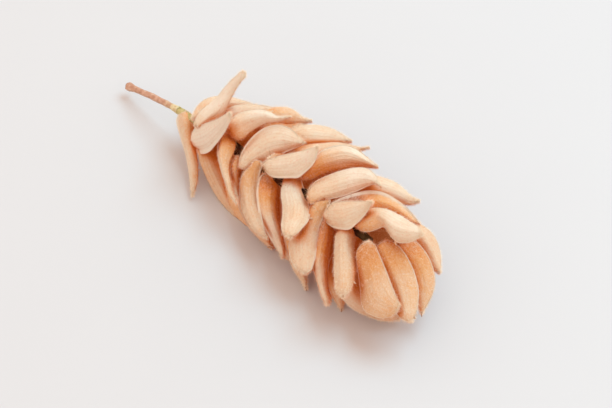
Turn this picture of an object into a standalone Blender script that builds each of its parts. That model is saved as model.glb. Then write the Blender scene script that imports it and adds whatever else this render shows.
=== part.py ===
"""A hop hornbeam fruit, picked and lying on a table: a slim stalk, and a cone of papery bladders round its rachis.

The rachis is the stalk's continuation through the cone. It lies along +X, from the stalk to the cone's free
end, and rises a little that way, because the cone is slimmer beside its stalk and the stalk's cut end
touches the table. A bladder is placed by its station along the rachis, by its clock angle round it, and by
its splay, the angle between the bladder and the rachis. Lengths here are in millimetres and angles in
degrees, until each mesh is written in metres.
"""

import math
import random
from collections import namedtuple

import bmesh
import bpy
from mathutils import Matrix, Vector

MM = 0.001

# The rachis, from the stalk's joint to the last bladders.
RACHIS_LENGTH = 40.5
RACHIS_FOOT_HEIGHT = 6.8
RACHIS_RISE = 7.2
# Puts the object's box over the origin.
BOX_SHIFT = Vector((-18.6, -1.4, 0.0))

# The core that the bladders' roots are sunk in: its radius at shares of the rachis's length.
CORE_RADII = ((0.0, 0.9), (0.08, 1.2), (0.35, 1.5), (0.7, 1.5), (0.92, 1.2), (1.0, 0.8))
CORE_SIDES = 10
# The core's neck, which runs on out of the cone along the stalk's line.
NECK_LENGTH = 2.8
NECK_RADIUS = 0.62
# How far a bladder's root reaches past the rachis's middle line, and how far one that hugs it reaches.
ROOT = 0.6
HUGGING_ROOT = 2.0

# A bladder's width and thickness, at shares of its length and as shares of the greatest.
WIDTH_PROFILE = ((0.0, 0.42), (0.05, 0.68), (0.15, 0.88), (0.36, 1.0), (0.6, 0.98), (0.79, 0.82),
                 (0.9, 0.54), (0.95, 0.22), (1.0, 0.06))
DEPTH_PROFILE = ((0.0, 0.40), (0.05, 0.66), (0.15, 0.88), (0.36, 1.0), (0.6, 0.93), (0.79, 0.68),
                 (0.9, 0.40), (0.95, 0.20), (1.0, 0.08))
BLADDER_STATIONS = (0.0, 0.05, 0.15, 0.36, 0.6, 0.79, 0.9, 0.95, 1.0)
BLADDER_SIDES = 8
BLADDER_WIDTH = 5.6
BLADDER_DEPTH = 4.2
# How far its heading turns towards the rachis from root to beak.
BEND = 36.0
# It stands with an edge outwards, a little turned about its own length.
ROLL = -80.0
# It is fuller along one of its two edges, and its beak stands by the other.
LOP = 0.45

# How far a bladder that would reach through the table is left below it, to be cut off as its flat spot.
PRESSED_DEPTH = 0.3
SPLAY_STEP = 0.5

# The stalk, from its joint with the cone to its cut end, which is held just clear of the table.
STALK_LENGTH = 15.2
STALK_SLOPE = 0.20
STALK_SIDES = 10
STALK_RINGS = 16
STALK_RADIUS = 0.48
STALK_JOINT_RADIUS = 0.62
STALK_END_RADIUS = 0.72
# The length of its two swellings, as a share of its own.
STALK_SWELLING = 0.09
STALK_GAP = 0.3
STALK_CLEARANCE = 1.25

CREASE_ANGLE = 50.0
BLADDER_COLOUR = (0.83, 0.55, 0.35, 1.0)
STALK_COLOUR = (0.40, 0.20, 0.12, 1.0)

Bladder = namedtuple(
    "Bladder",
    "station clock splay length width depth bend roll lop root",
    defaults=(BLADDER_WIDTH, BLADDER_DEPTH, BEND, ROLL, LOP, ROOT),
)

# The bladders that show from the near side. Clock angles start at the top and grow towards -Y.
TOP_BLADDERS = (
    Bladder(1.0, -45, 68, 12.0, width=3.6, depth=2.6, bend=10, roll=-30, lop=0.0),
    Bladder(3.2, 2, 52, 10.5, width=6.2, lop=-LOP, root=HUGGING_ROOT),
    Bladder(8.6, -41, 43, 13.4, width=5.2),
    Bladder(13.4, -42, 39, 12.4, width=6.4, root=1.8),
    Bladder(18.3, -23, 49, 12.0, width=5.2, lop=-LOP, root=HUGGING_ROOT),
    Bladder(23.0, -70, 48, 14.0),
    Bladder(27.4, -52, 38, 13.5, root=1.2),
    Bladder(32.4, -13, 42, 11.5, width=5.2, lop=-LOP, root=HUGGING_ROOT),
    Bladder(33.0, -62, 29, 14.0, bend=50),
    Bladder(37.7, -38, 26, 13.0, bend=80),
)
NEAR_BLADDERS = (
    Bladder(0.6, 122, 52, 12.5, width=4.2, depth=2.8, bend=14, lop=0.0),
    Bladder(8.8, 105, 43, 11.0, width=4.4, depth=3.2, roll=-30),
    Bladder(12.5, 128, 44, 12.5, width=4.8, roll=-40),
    Bladder(15.7, 121, 44, 12.5),
    Bladder(20.0, 124, 46, 13.0, width=4.8, roll=-40),
    Bladder(23.2, 91, 44, 11.0, width=5.0, lop=-LOP),
    Bladder(29.8, 116, 64, 11.8, lop=-0.2),
    Bladder(32.6, 125, 57, 14.5, width=4.8, roll=-40),
    Bladder(36.2, 100, 49, 13.5, width=4.8, depth=3.4, roll=-30, lop=0.1),
)
LOW_BLADDERS = (
    Bladder(4.5, 138, 44, 13.5, width=6.4, roll=-60),
    Bladder(10.5, 142, 50, 13.5, roll=-40),
    Bladder(16.0, 145, 52, 13.0, roll=-40),
    Bladder(21.6, 147, 60, 13.5, roll=-40),
    Bladder(27.2, 148, 66, 14.0, roll=-40),
    Bladder(34.2, 150, 64, 14.0, roll=-40),
    Bladder(37.4, 162, 62, 14.0, roll=-30),
)
END_BLADDERS = (
    Bladder(39.6, 128, 36, 14.0, width=6.8),
    Bladder(40.2, 150, 31, 14.5, width=6.6, roll=-60),
    Bladder(40.6, 176, 40, 14.5, width=6.6, roll=-30),
    Bladder(39.6, -142, 46, 13.5, width=6.4, roll=-20),
)
FAR_BLADDERS = (
    Bladder(1.6, -92, 72, 11.0),
    Bladder(4.6, -75, 53, 12.6),
    Bladder(8.0, -90, 60, 14.0),
    Bladder(12.2, -87, 61, 14.0),
    Bladder(16.3, -85, 61, 14.5),
    Bladder(20.8, -80, 62, 14.5),
    Bladder(27.0, -88, 56, 13.5),
    Bladder(32.5, -85, 51, 13.5),
    Bladder(36.4, -112, 42, 13.0),
)
FAR_LOW_BLADDERS = (
    Bladder(4.4, -128, 52, 12.5, roll=-30),
    Bladder(10.2, -125, 56, 13.0, roll=-30),
    Bladder(15.8, -128, 56, 13.5, roll=-30),
    Bladder(21.6, -122, 58, 13.5, roll=-30),
    Bladder(27.4, -126, 58, 13.5, roll=-30),
    Bladder(33.2, -124, 54, 13.5, roll=-30),
)
# Underneath, bladders follow each other along the rachis, to the two sides of the bottom in turn. Each is
# splayed until it lies on the table, and is placed a little unevenly, as grown.
UNDER_FIRST, UNDER_LAST, UNDER_STEP = 3.0, 38.0, 4.8
UNDER_CLOCK, UNDER_SWING = 194.0, 17.0
UNDER_SPLAY, UNDER_LENGTH, UNDER_ROLL = 64.0, 13.4, -20.0
UNEVEN_STATION, UNEVEN_CLOCK, UNEVEN_LENGTH, UNEVEN_ROLL = 0.4, 4.0, 0.6, 10.0
UNDER_SEED = 5


def clear_scene():
    for obj in list(bpy.data.objects):
        bpy.data.objects.remove(obj)


def shared(profile, t):
    """The profile's value at t, on straight lines between its points."""
    for (t0, v0), (t1, v1) in zip(profile, profile[1:]):
        if t <= t1:
            return v0 + (v1 - v0) * (t - t0) / (t1 - t0)
    return profile[-1][1]


def rachis_direction():
    rise = math.radians(RACHIS_RISE)
    return Vector((math.cos(rise), 0.0, math.sin(rise)))


def rachis_point(station):
    return Vector((0.0, 0.0, RACHIS_FOOT_HEIGHT)) + rachis_direction() * station


def radial(clock):
    """The direction square to the rachis at this clock angle."""
    along = rachis_direction()
    upward = Vector((-along.z, 0.0, along.x))
    near = Vector((0.0, -1.0, 0.0))
    angle = math.radians(clock)
    return upward * math.cos(angle) + near * math.sin(angle)


def bladder_sections(bladder):
    """Each ring of the bladder, from its root to its beak, as a list of points."""
    along, outward = rachis_direction(), radial(bladder.clock)
    across = along.cross(outward)
    place = rachis_point(bladder.station) - outward * bladder.root
    rings = []
    before = 0.0
    for t in BLADDER_STATIONS:
        middle = math.radians(bladder.splay + bladder.bend * (0.5 - (t + before) / 2))
        step = along * math.cos(middle) + outward * math.sin(middle)
        place = place + step * (bladder.length * (t - before))
        before = t
        lean = math.radians(bladder.splay + bladder.bend * (0.5 - t))
        heading = along * math.cos(lean) + outward * math.sin(lean)
        back = outward * math.cos(lean) - along * math.sin(lean)
        turn = Matrix.Rotation(math.radians(bladder.roll), 3, heading)
        wide, thick = turn @ across, turn @ back
        half_width = bladder.width / 2 * shared(WIDTH_PROFILE, t)
        half_depth = bladder.depth / 2 * shared(DEPTH_PROFILE, t)
        ring = []
        for side in range(BLADDER_SIDES):
            angle = 2 * math.pi * side / BLADDER_SIDES
            reach = half_width * (math.cos(angle) + bladder.lop)
            ring.append(place + wide * reach + thick * (half_depth * math.sin(angle)))
        rings.append(ring)
    return rings


def lowest(bladder):
    return min(point.z for ring in bladder_sections(bladder) for point in ring)


def rested(bladder):
    """The bladder, pressed towards the rachis until no more than its flat spot is below the table."""
    while lowest(bladder) < -PRESSED_DEPTH:
        bladder = bladder._replace(splay=bladder.splay - SPLAY_STEP)
    return bladder


def under_bladders():
    draw = random.Random(UNDER_SEED)
    station, side = UNDER_FIRST, 1
    while station < UNDER_LAST:
        yield Bladder(
            station + draw.uniform(-UNEVEN_STATION, UNEVEN_STATION),
            UNDER_CLOCK + side * UNDER_SWING + draw.uniform(-UNEVEN_CLOCK, UNEVEN_CLOCK),
            UNDER_SPLAY,
            UNDER_LENGTH + draw.uniform(-UNEVEN_LENGTH, UNEVEN_LENGTH),
            roll=UNDER_ROLL + draw.uniform(-UNEVEN_ROLL, UNEVEN_ROLL),
        )
        station += UNDER_STEP
        side = -side


def all_bladders():
    near_side = TOP_BLADDERS + NEAR_BLADDERS + LOW_BLADDERS + END_BLADDERS
    far_side = FAR_BLADDERS + FAR_LOW_BLADDERS + tuple(under_bladders())
    return [rested(bladder) for bladder in near_side + far_side]


def lofted(name, rings):
    """A closed mesh object through rings of points, with a flat cap on each end."""
    mesh = bmesh.new()
    loops = [[mesh.verts.new((point + BOX_SHIFT) * MM) for point in ring] for ring in rings]
    for low, high in zip(loops, loops[1:]):
        for i in range(len(low)):
            j = (i + 1) % len(low)
            mesh.faces.new((low[i], low[j], high[j], high[i]))
    mesh.faces.new(reversed(loops[0]))
    mesh.faces.new(loops[-1])
    bmesh.ops.recalc_face_normals(mesh, faces=mesh.faces)
    data = bpy.data.meshes.new(name)
    mesh.to_mesh(data)
    mesh.free()
    obj = bpy.data.objects.new(name, data)
    bpy.context.scene.collection.objects.link(obj)
    return obj


def circle(centre, heading, radius, sides):
    """Points of a circle square to heading."""
    across = Vector((0.0, 1.0, 0.0))
    upward = across.cross(heading).normalized()
    angles = [2 * math.pi * side / sides for side in range(sides)]
    return [centre + (across * math.cos(a) + upward * math.sin(a)) * radius for a in angles]


def stalk_point(distance):
    """The stalk's middle line, which droops more steeply towards its cut end."""
    foot = rachis_point(0.0)
    end_height = STALK_END_RADIUS + STALK_CLEARANCE
    fall = foot.z - end_height - STALK_SLOPE * STALK_LENGTH
    share = distance / STALK_LENGTH
    height = foot.z - STALK_SLOPE * distance - fall * share * share
    return Vector((foot.x - distance, 0.0, height))


def stalk_heading(distance):
    """The middle line's direction, towards the cut end, from two points a little apart."""
    return (stalk_point(distance + STALK_RADIUS) - stalk_point(distance - STALK_RADIUS)).normalized()


def core():
    rings = [circle(stalk_point(NECK_LENGTH), -stalk_heading(NECK_LENGTH), NECK_RADIUS, CORE_SIDES)]
    for t, radius in CORE_RADII:
        rings.append(circle(rachis_point(t * RACHIS_LENGTH), rachis_direction(), radius, CORE_SIDES))
    return lofted("core", rings)


def material(name, colour, roughness):
    made = bpy.data.materials.new(name)
    made.use_nodes = True
    shader = made.node_tree.nodes["Principled BSDF"]
    shader.inputs["Base Color"].default_value = colour
    shader.inputs["Roughness"].default_value = roughness
    shader.inputs["Metallic"].default_value = 0.0
    return made


def shade(obj):
    """Smooth, but for the creases between bladders and the edges of the flat spots."""
    obj.data.shade_smooth()
    obj.data.set_sharp_from_angle(angle=math.radians(CREASE_ANGLE))


def apply_modifiers(obj):
    graph = bpy.context.evaluated_depsgraph_get()
    data = bpy.data.meshes.new_from_object(obj.evaluated_get(graph))
    obj.modifiers.clear()
    obj.data = data


def fuse(obj, others):
    """Joins the other objects to obj in one solid, and removes them."""
    group = bpy.data.collections.new("repeats")
    bpy.context.scene.collection.children.link(group)
    for other in others:
        group.objects.link(other)
        bpy.context.scene.collection.objects.unlink(other)
    joined = obj.modifiers.new("join", "BOOLEAN")
    joined.operation = "UNION"
    joined.operand_type = "COLLECTION"
    joined.collection = group
    joined.solver = "EXACT"
    apply_modifiers(obj)
    for other in others:
        bpy.data.objects.remove(other)
    bpy.data.collections.remove(group)


def fill_sealed_hollows(obj):
    """Keeps the largest of the mesh's shells. A smaller one lines a space that the bladders close off."""
    mesh = bmesh.new()
    mesh.from_mesh(obj.data)
    left, shells = set(mesh.verts), []
    while left:
        shell, edge_of_shell = set(), [left.pop()]
        while edge_of_shell:
            vert = edge_of_shell.pop()
            shell.add(vert)
            near = {edge.other_vert(vert) for edge in vert.link_edges} & left
            left -= near
            edge_of_shell.extend(near)
        shells.append(shell)
    shells.sort(key=len)
    loose = [vert for shell in shells[:-1] for vert in shell]
    bmesh.ops.delete(mesh, geom=loose, context="VERTS")
    mesh.to_mesh(obj.data)
    mesh.free()


def cut_at_table(obj):
    """Cuts off what is below the table, which leaves the flat spots that the cone rests on."""
    mesh = bmesh.new()
    mesh.from_mesh(obj.data)
    bmesh.ops.bisect_plane(
        mesh,
        geom=mesh.verts[:] + mesh.edges[:] + mesh.faces[:],
        plane_co=(0, 0, 0),
        plane_no=(0, 0, 1),
        clear_inner=True,
    )
    rim = [edge for edge in mesh.edges if len(edge.link_faces) == 1]
    bmesh.ops.edgenet_fill(mesh, edges=rim)
    bmesh.ops.recalc_face_normals(mesh, faces=mesh.faces)
    mesh.to_mesh(obj.data)
    mesh.free()


def bladders():
    """The cone: every bladder, with its root in the core, in one solid."""
    cone = core()
    cone.name = "bladders"
    fuse(cone, [lofted("bladder", bladder_sections(bladder)) for bladder in all_bladders()])
    fill_sealed_hollows(cone)
    cut_at_table(cone)
    cone.data.materials.clear()
    cone.data.materials.append(material("papery bladder", BLADDER_COLOUR, 0.7))
    shade(cone)


def stalk_radius(share):
    """Swollen a little at the cone's neck, and again at the cut end, where the stalk left its twig."""
    joint = (STALK_JOINT_RADIUS - STALK_RADIUS) * math.exp(-((share / STALK_SWELLING) ** 2))
    end = (STALK_END_RADIUS - STALK_RADIUS) * math.exp(-(((1 - share) / STALK_SWELLING) ** 2))
    return STALK_RADIUS + joint + end


def stalk():
    rings = []
    start = NECK_LENGTH + STALK_GAP
    for ring in range(STALK_RINGS + 1):
        share = ring / STALK_RINGS
        distance = start + share * (STALK_LENGTH - start)
        heading = stalk_heading(distance)
        rings.append(circle(stalk_point(distance), heading, stalk_radius(share), STALK_SIDES))
    obj = lofted("stalk", rings)
    obj.data.materials.append(material("bark of the stalk", STALK_COLOUR, 0.75))
    shade(obj)


clear_scene()
bladders()
stalk()
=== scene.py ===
"""The looks of a dried hop hornbeam fruit: papery bladders with veins, rims, beaks and down, bristles round
their roots, the rachis that they grow from, and the stalk.

Lengths are in millimetres and angles in degrees, until each mesh is written in metres. A bladder is placed
by its station along the rachis, by its clock angle round it, and by its splay, the angle between the two.
"""

import math
import random
from collections import namedtuple

import bpy
import numpy as np
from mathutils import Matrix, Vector, noise
from mathutils.bvhtree import BVHTree


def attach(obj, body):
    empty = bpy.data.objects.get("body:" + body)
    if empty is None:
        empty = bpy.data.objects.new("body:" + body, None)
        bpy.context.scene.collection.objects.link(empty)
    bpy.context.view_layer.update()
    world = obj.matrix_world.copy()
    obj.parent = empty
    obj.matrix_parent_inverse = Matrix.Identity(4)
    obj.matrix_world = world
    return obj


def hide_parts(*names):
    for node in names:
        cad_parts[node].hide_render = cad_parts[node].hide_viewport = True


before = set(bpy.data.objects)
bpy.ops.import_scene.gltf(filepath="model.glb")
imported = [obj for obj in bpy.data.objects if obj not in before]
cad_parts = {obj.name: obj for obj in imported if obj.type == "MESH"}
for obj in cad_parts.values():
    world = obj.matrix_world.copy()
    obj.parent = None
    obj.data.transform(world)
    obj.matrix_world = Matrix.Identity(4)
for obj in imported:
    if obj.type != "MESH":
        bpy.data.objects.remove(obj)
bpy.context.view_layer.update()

MM = 0.001
UP = np.array((0.0, 0.0, 1.0))
# How far above the table the skins and hairs, and the bristles, stay.
SKIN_CLEARANCE = 0.02
BRISTLE_CLEARANCE = 0.03

# The rachis, as the solids have it.
RACHIS_LENGTH = 40.5
RACHIS_FOOT_HEIGHT = 6.8
RACHIS_RISE = 7.2
BOX_SHIFT = np.array((-18.6, -1.4, 0.0))
CORE_RADII = ((0.0, 0.9), (0.08, 1.2), (0.35, 1.5), (0.7, 1.5), (0.92, 1.2), (1.0, 0.8))
NECK_LENGTH = 2.8
NECK_RADIUS = 0.62
# The dry rachis has this share of the solid core's thickness.
RACHIS_SLIMNESS = 0.62
# How far a bladder's root lies behind the rachis's middle line. A hugging one lies close along the rachis.
ROOT = 0.6
HUGGING_ROOT = 2.0

# A bladder's plan, as the solids have it, at shares of its length.
STATIONS = (0.0, 0.05, 0.15, 0.36, 0.6, 0.79, 0.9, 0.95, 1.0)
WIDTH_PROFILE = ((0.0, 0.42), (0.05, 0.68), (0.15, 0.88), (0.36, 1.0), (0.6, 0.98), (0.79, 0.82),
                 (0.9, 0.54), (0.95, 0.22), (1.0, 0.06))
DEPTH_PROFILE = ((0.0, 0.40), (0.05, 0.66), (0.15, 0.88), (0.36, 1.0), (0.6, 0.93), (0.79, 0.68),
                 (0.9, 0.40), (0.95, 0.20), (1.0, 0.08))
SOLID_SIDES = 8
BLADDER_WIDTH = 5.6
BLADDER_DEPTH = 4.2
BEND = 36.0
ROLL = -80.0
LOP = 0.45
PRESSED_DEPTH = 0.3
SPLAY_STEP = 0.5

# The finer plan of its ends: closed and rounded at the root, blunt at the far end, with a slim beak.
FINE_WIDTH = ((-0.03, 0.0), (-0.02, 0.22), (0.0, 0.42), (0.05, 0.68), (0.15, 0.88), (0.36, 1.0),
              (0.6, 0.98), (0.79, 0.85), (0.89, 0.62), (0.94, 0.36), (0.97, 0.15), (1.0, 0.075),
              (1.08, 0.02))
FINE_DEPTH = ((-0.03, 0.0), (-0.02, 0.22), (0.0, 0.40), (0.05, 0.66), (0.15, 0.88), (0.36, 1.0),
              (0.6, 0.94), (0.79, 0.72), (0.89, 0.48), (0.94, 0.28), (0.97, 0.13), (1.0, 0.08),
              (1.08, 0.02))
FINE_START, FINE_END = -0.03, 1.08
RINGS = 44
SIDES = 44
# Over 1, it pinches the two long edges of the cross-section.
PINCH = 1.35
KEEL_HEIGHT = 0.16
KEEL_SPREAD = 0.20

# tone runs from 0, pale cream, to 1, deep peach. Below 0 it is as pale as the rims, and above 1 it turns
# amber and then dark. It is partly each bladder's own colour and partly painted light and shade, paler on
# bladders that catch the light and deeper on those in shade. side is how much deeper the colour is towards
# the right edge, or the left edge where it is negative, foot is how much deeper it is at the root, and dim
# is how much duller it is all over. side and foot are painted light and shade on an edge and on the root,
# and dim is painted shade over bladders that lie in shadow.
TONE, FOOT = 0.5, 0.2
Bladder = namedtuple(
    "Bladder",
    "station clock splay length width depth bend roll lop root tone side foot dim",
    defaults=(BLADDER_WIDTH, BLADDER_DEPTH, BEND, ROLL, LOP, ROOT, TONE, 0.0, FOOT, 0.0),
)

TOP_BLADDERS = (
    Bladder(1.0, -45, 68, 12.0, width=3.6, depth=2.6, bend=10, roll=-30, lop=0.0, tone=0.2),
    Bladder(3.2, 2, 52, 10.5, width=6.2, lop=-LOP, root=HUGGING_ROOT, tone=0.0),
    Bladder(8.6, -41, 43, 13.4, width=5.2, tone=0.2),
    Bladder(13.4, -42, 39, 12.4, width=6.4, root=1.8, tone=0.1),
    Bladder(18.3, -23, 49, 12.0, width=5.2, lop=-LOP, root=HUGGING_ROOT, tone=0.0),
    Bladder(23.0, -70, 48, 14.0, tone=0.6),
    Bladder(27.4, -52, 38, 13.5, root=1.2, tone=0.2),
    Bladder(32.4, -13, 42, 11.5, width=5.2, lop=-LOP, root=HUGGING_ROOT, tone=0.0),
    Bladder(33.0, -62, 29, 14.0, bend=50, tone=0.5),
    Bladder(37.7, -38, 26, 13.0, bend=80, tone=0.2),
)
NEAR_BLADDERS = (
    Bladder(0.6, 122, 52, 12.5, width=4.2, depth=2.8, bend=14, lop=0.0, tone=0.4),
    Bladder(8.8, 105, 43, 11.0, width=4.4, depth=3.2, roll=-30, tone=0.3),
    Bladder(12.5, 128, 44, 12.5, width=4.8, roll=-40, tone=0.6),
    Bladder(15.7, 121, 44, 12.5, tone=0.2),
    Bladder(20.0, 124, 46, 13.0, width=4.8, roll=-40, tone=0.3),
    Bladder(23.2, 91, 44, 11.0, width=5.0, lop=-LOP, tone=0.1),
    Bladder(29.8, 116, 64, 11.8, lop=-0.2, tone=0.1),
    Bladder(32.6, 125, 57, 14.5, width=4.8, roll=-40, tone=0.4),
    Bladder(36.2, 100, 49, 13.5, width=4.8, depth=3.4, roll=-30, lop=0.1, tone=0.2),
)
LOW_BLADDERS = (
    Bladder(4.5, 138, 44, 13.5, width=6.4, roll=-60, tone=0.8),
    Bladder(10.5, 142, 50, 13.5, roll=-40, tone=1.1),
    Bladder(16.0, 145, 52, 13.0, roll=-40, tone=0.7),
    Bladder(21.6, 147, 60, 13.5, roll=-40, tone=0.6),
    Bladder(27.2, 148, 66, 14.0, roll=-40, tone=0.6),
    Bladder(34.2, 150, 64, 14.0, roll=-40, tone=0.6),
    Bladder(37.4, 162, 62, 14.0, roll=-30, tone=0.7),
)
END_BLADDERS = (
    Bladder(39.6, 128, 36, 14.0, width=6.8, tone=0.5),
    Bladder(40.2, 150, 31, 14.5, width=6.6, roll=-60, tone=0.5),
    Bladder(40.6, 176, 40, 14.5, width=6.6, roll=-30, tone=0.7),
    Bladder(39.6, -142, 46, 13.5, width=6.4, roll=-20, tone=0.8),
)
FAR_BLADDERS = (
    Bladder(1.6, -92, 72, 11.0, tone=0.6),
    Bladder(4.6, -75, 53, 12.6, tone=0.5),
    Bladder(8.0, -90, 60, 14.0, tone=0.8),
    Bladder(12.2, -87, 61, 14.0, tone=0.5),
    Bladder(16.3, -85, 61, 14.5, tone=0.5),
    Bladder(20.8, -80, 62, 14.5, tone=0.7),
    Bladder(27.0, -88, 56, 13.5, tone=0.6),
    Bladder(32.5, -85, 51, 13.5, tone=0.5),
    Bladder(36.4, -112, 42, 13.0, tone=0.6),
)
FAR_LOW_BLADDERS = (
    Bladder(4.4, -128, 52, 12.5, roll=-30),
    Bladder(10.2, -125, 56, 13.0, roll=-30),
    Bladder(15.8, -128, 56, 13.5, roll=-30),
    Bladder(21.6, -122, 58, 13.5, roll=-30),
    Bladder(27.4, -126, 58, 13.5, roll=-30),
    Bladder(33.2, -124, 54, 13.5, roll=-30),
)
UNDER_FIRST, UNDER_LAST, UNDER_STEP = 3.0, 38.0, 4.8
UNDER_CLOCK, UNDER_SWING = 194.0, 17.0
UNDER_SPLAY, UNDER_LENGTH, UNDER_ROLL = 64.0, 13.4, -20.0
UNEVEN_STATION, UNEVEN_CLOCK, UNEVEN_LENGTH, UNEVEN_ROLL = 0.4, 4.0, 0.6, 10.0
UNDER_SEED = 5

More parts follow.
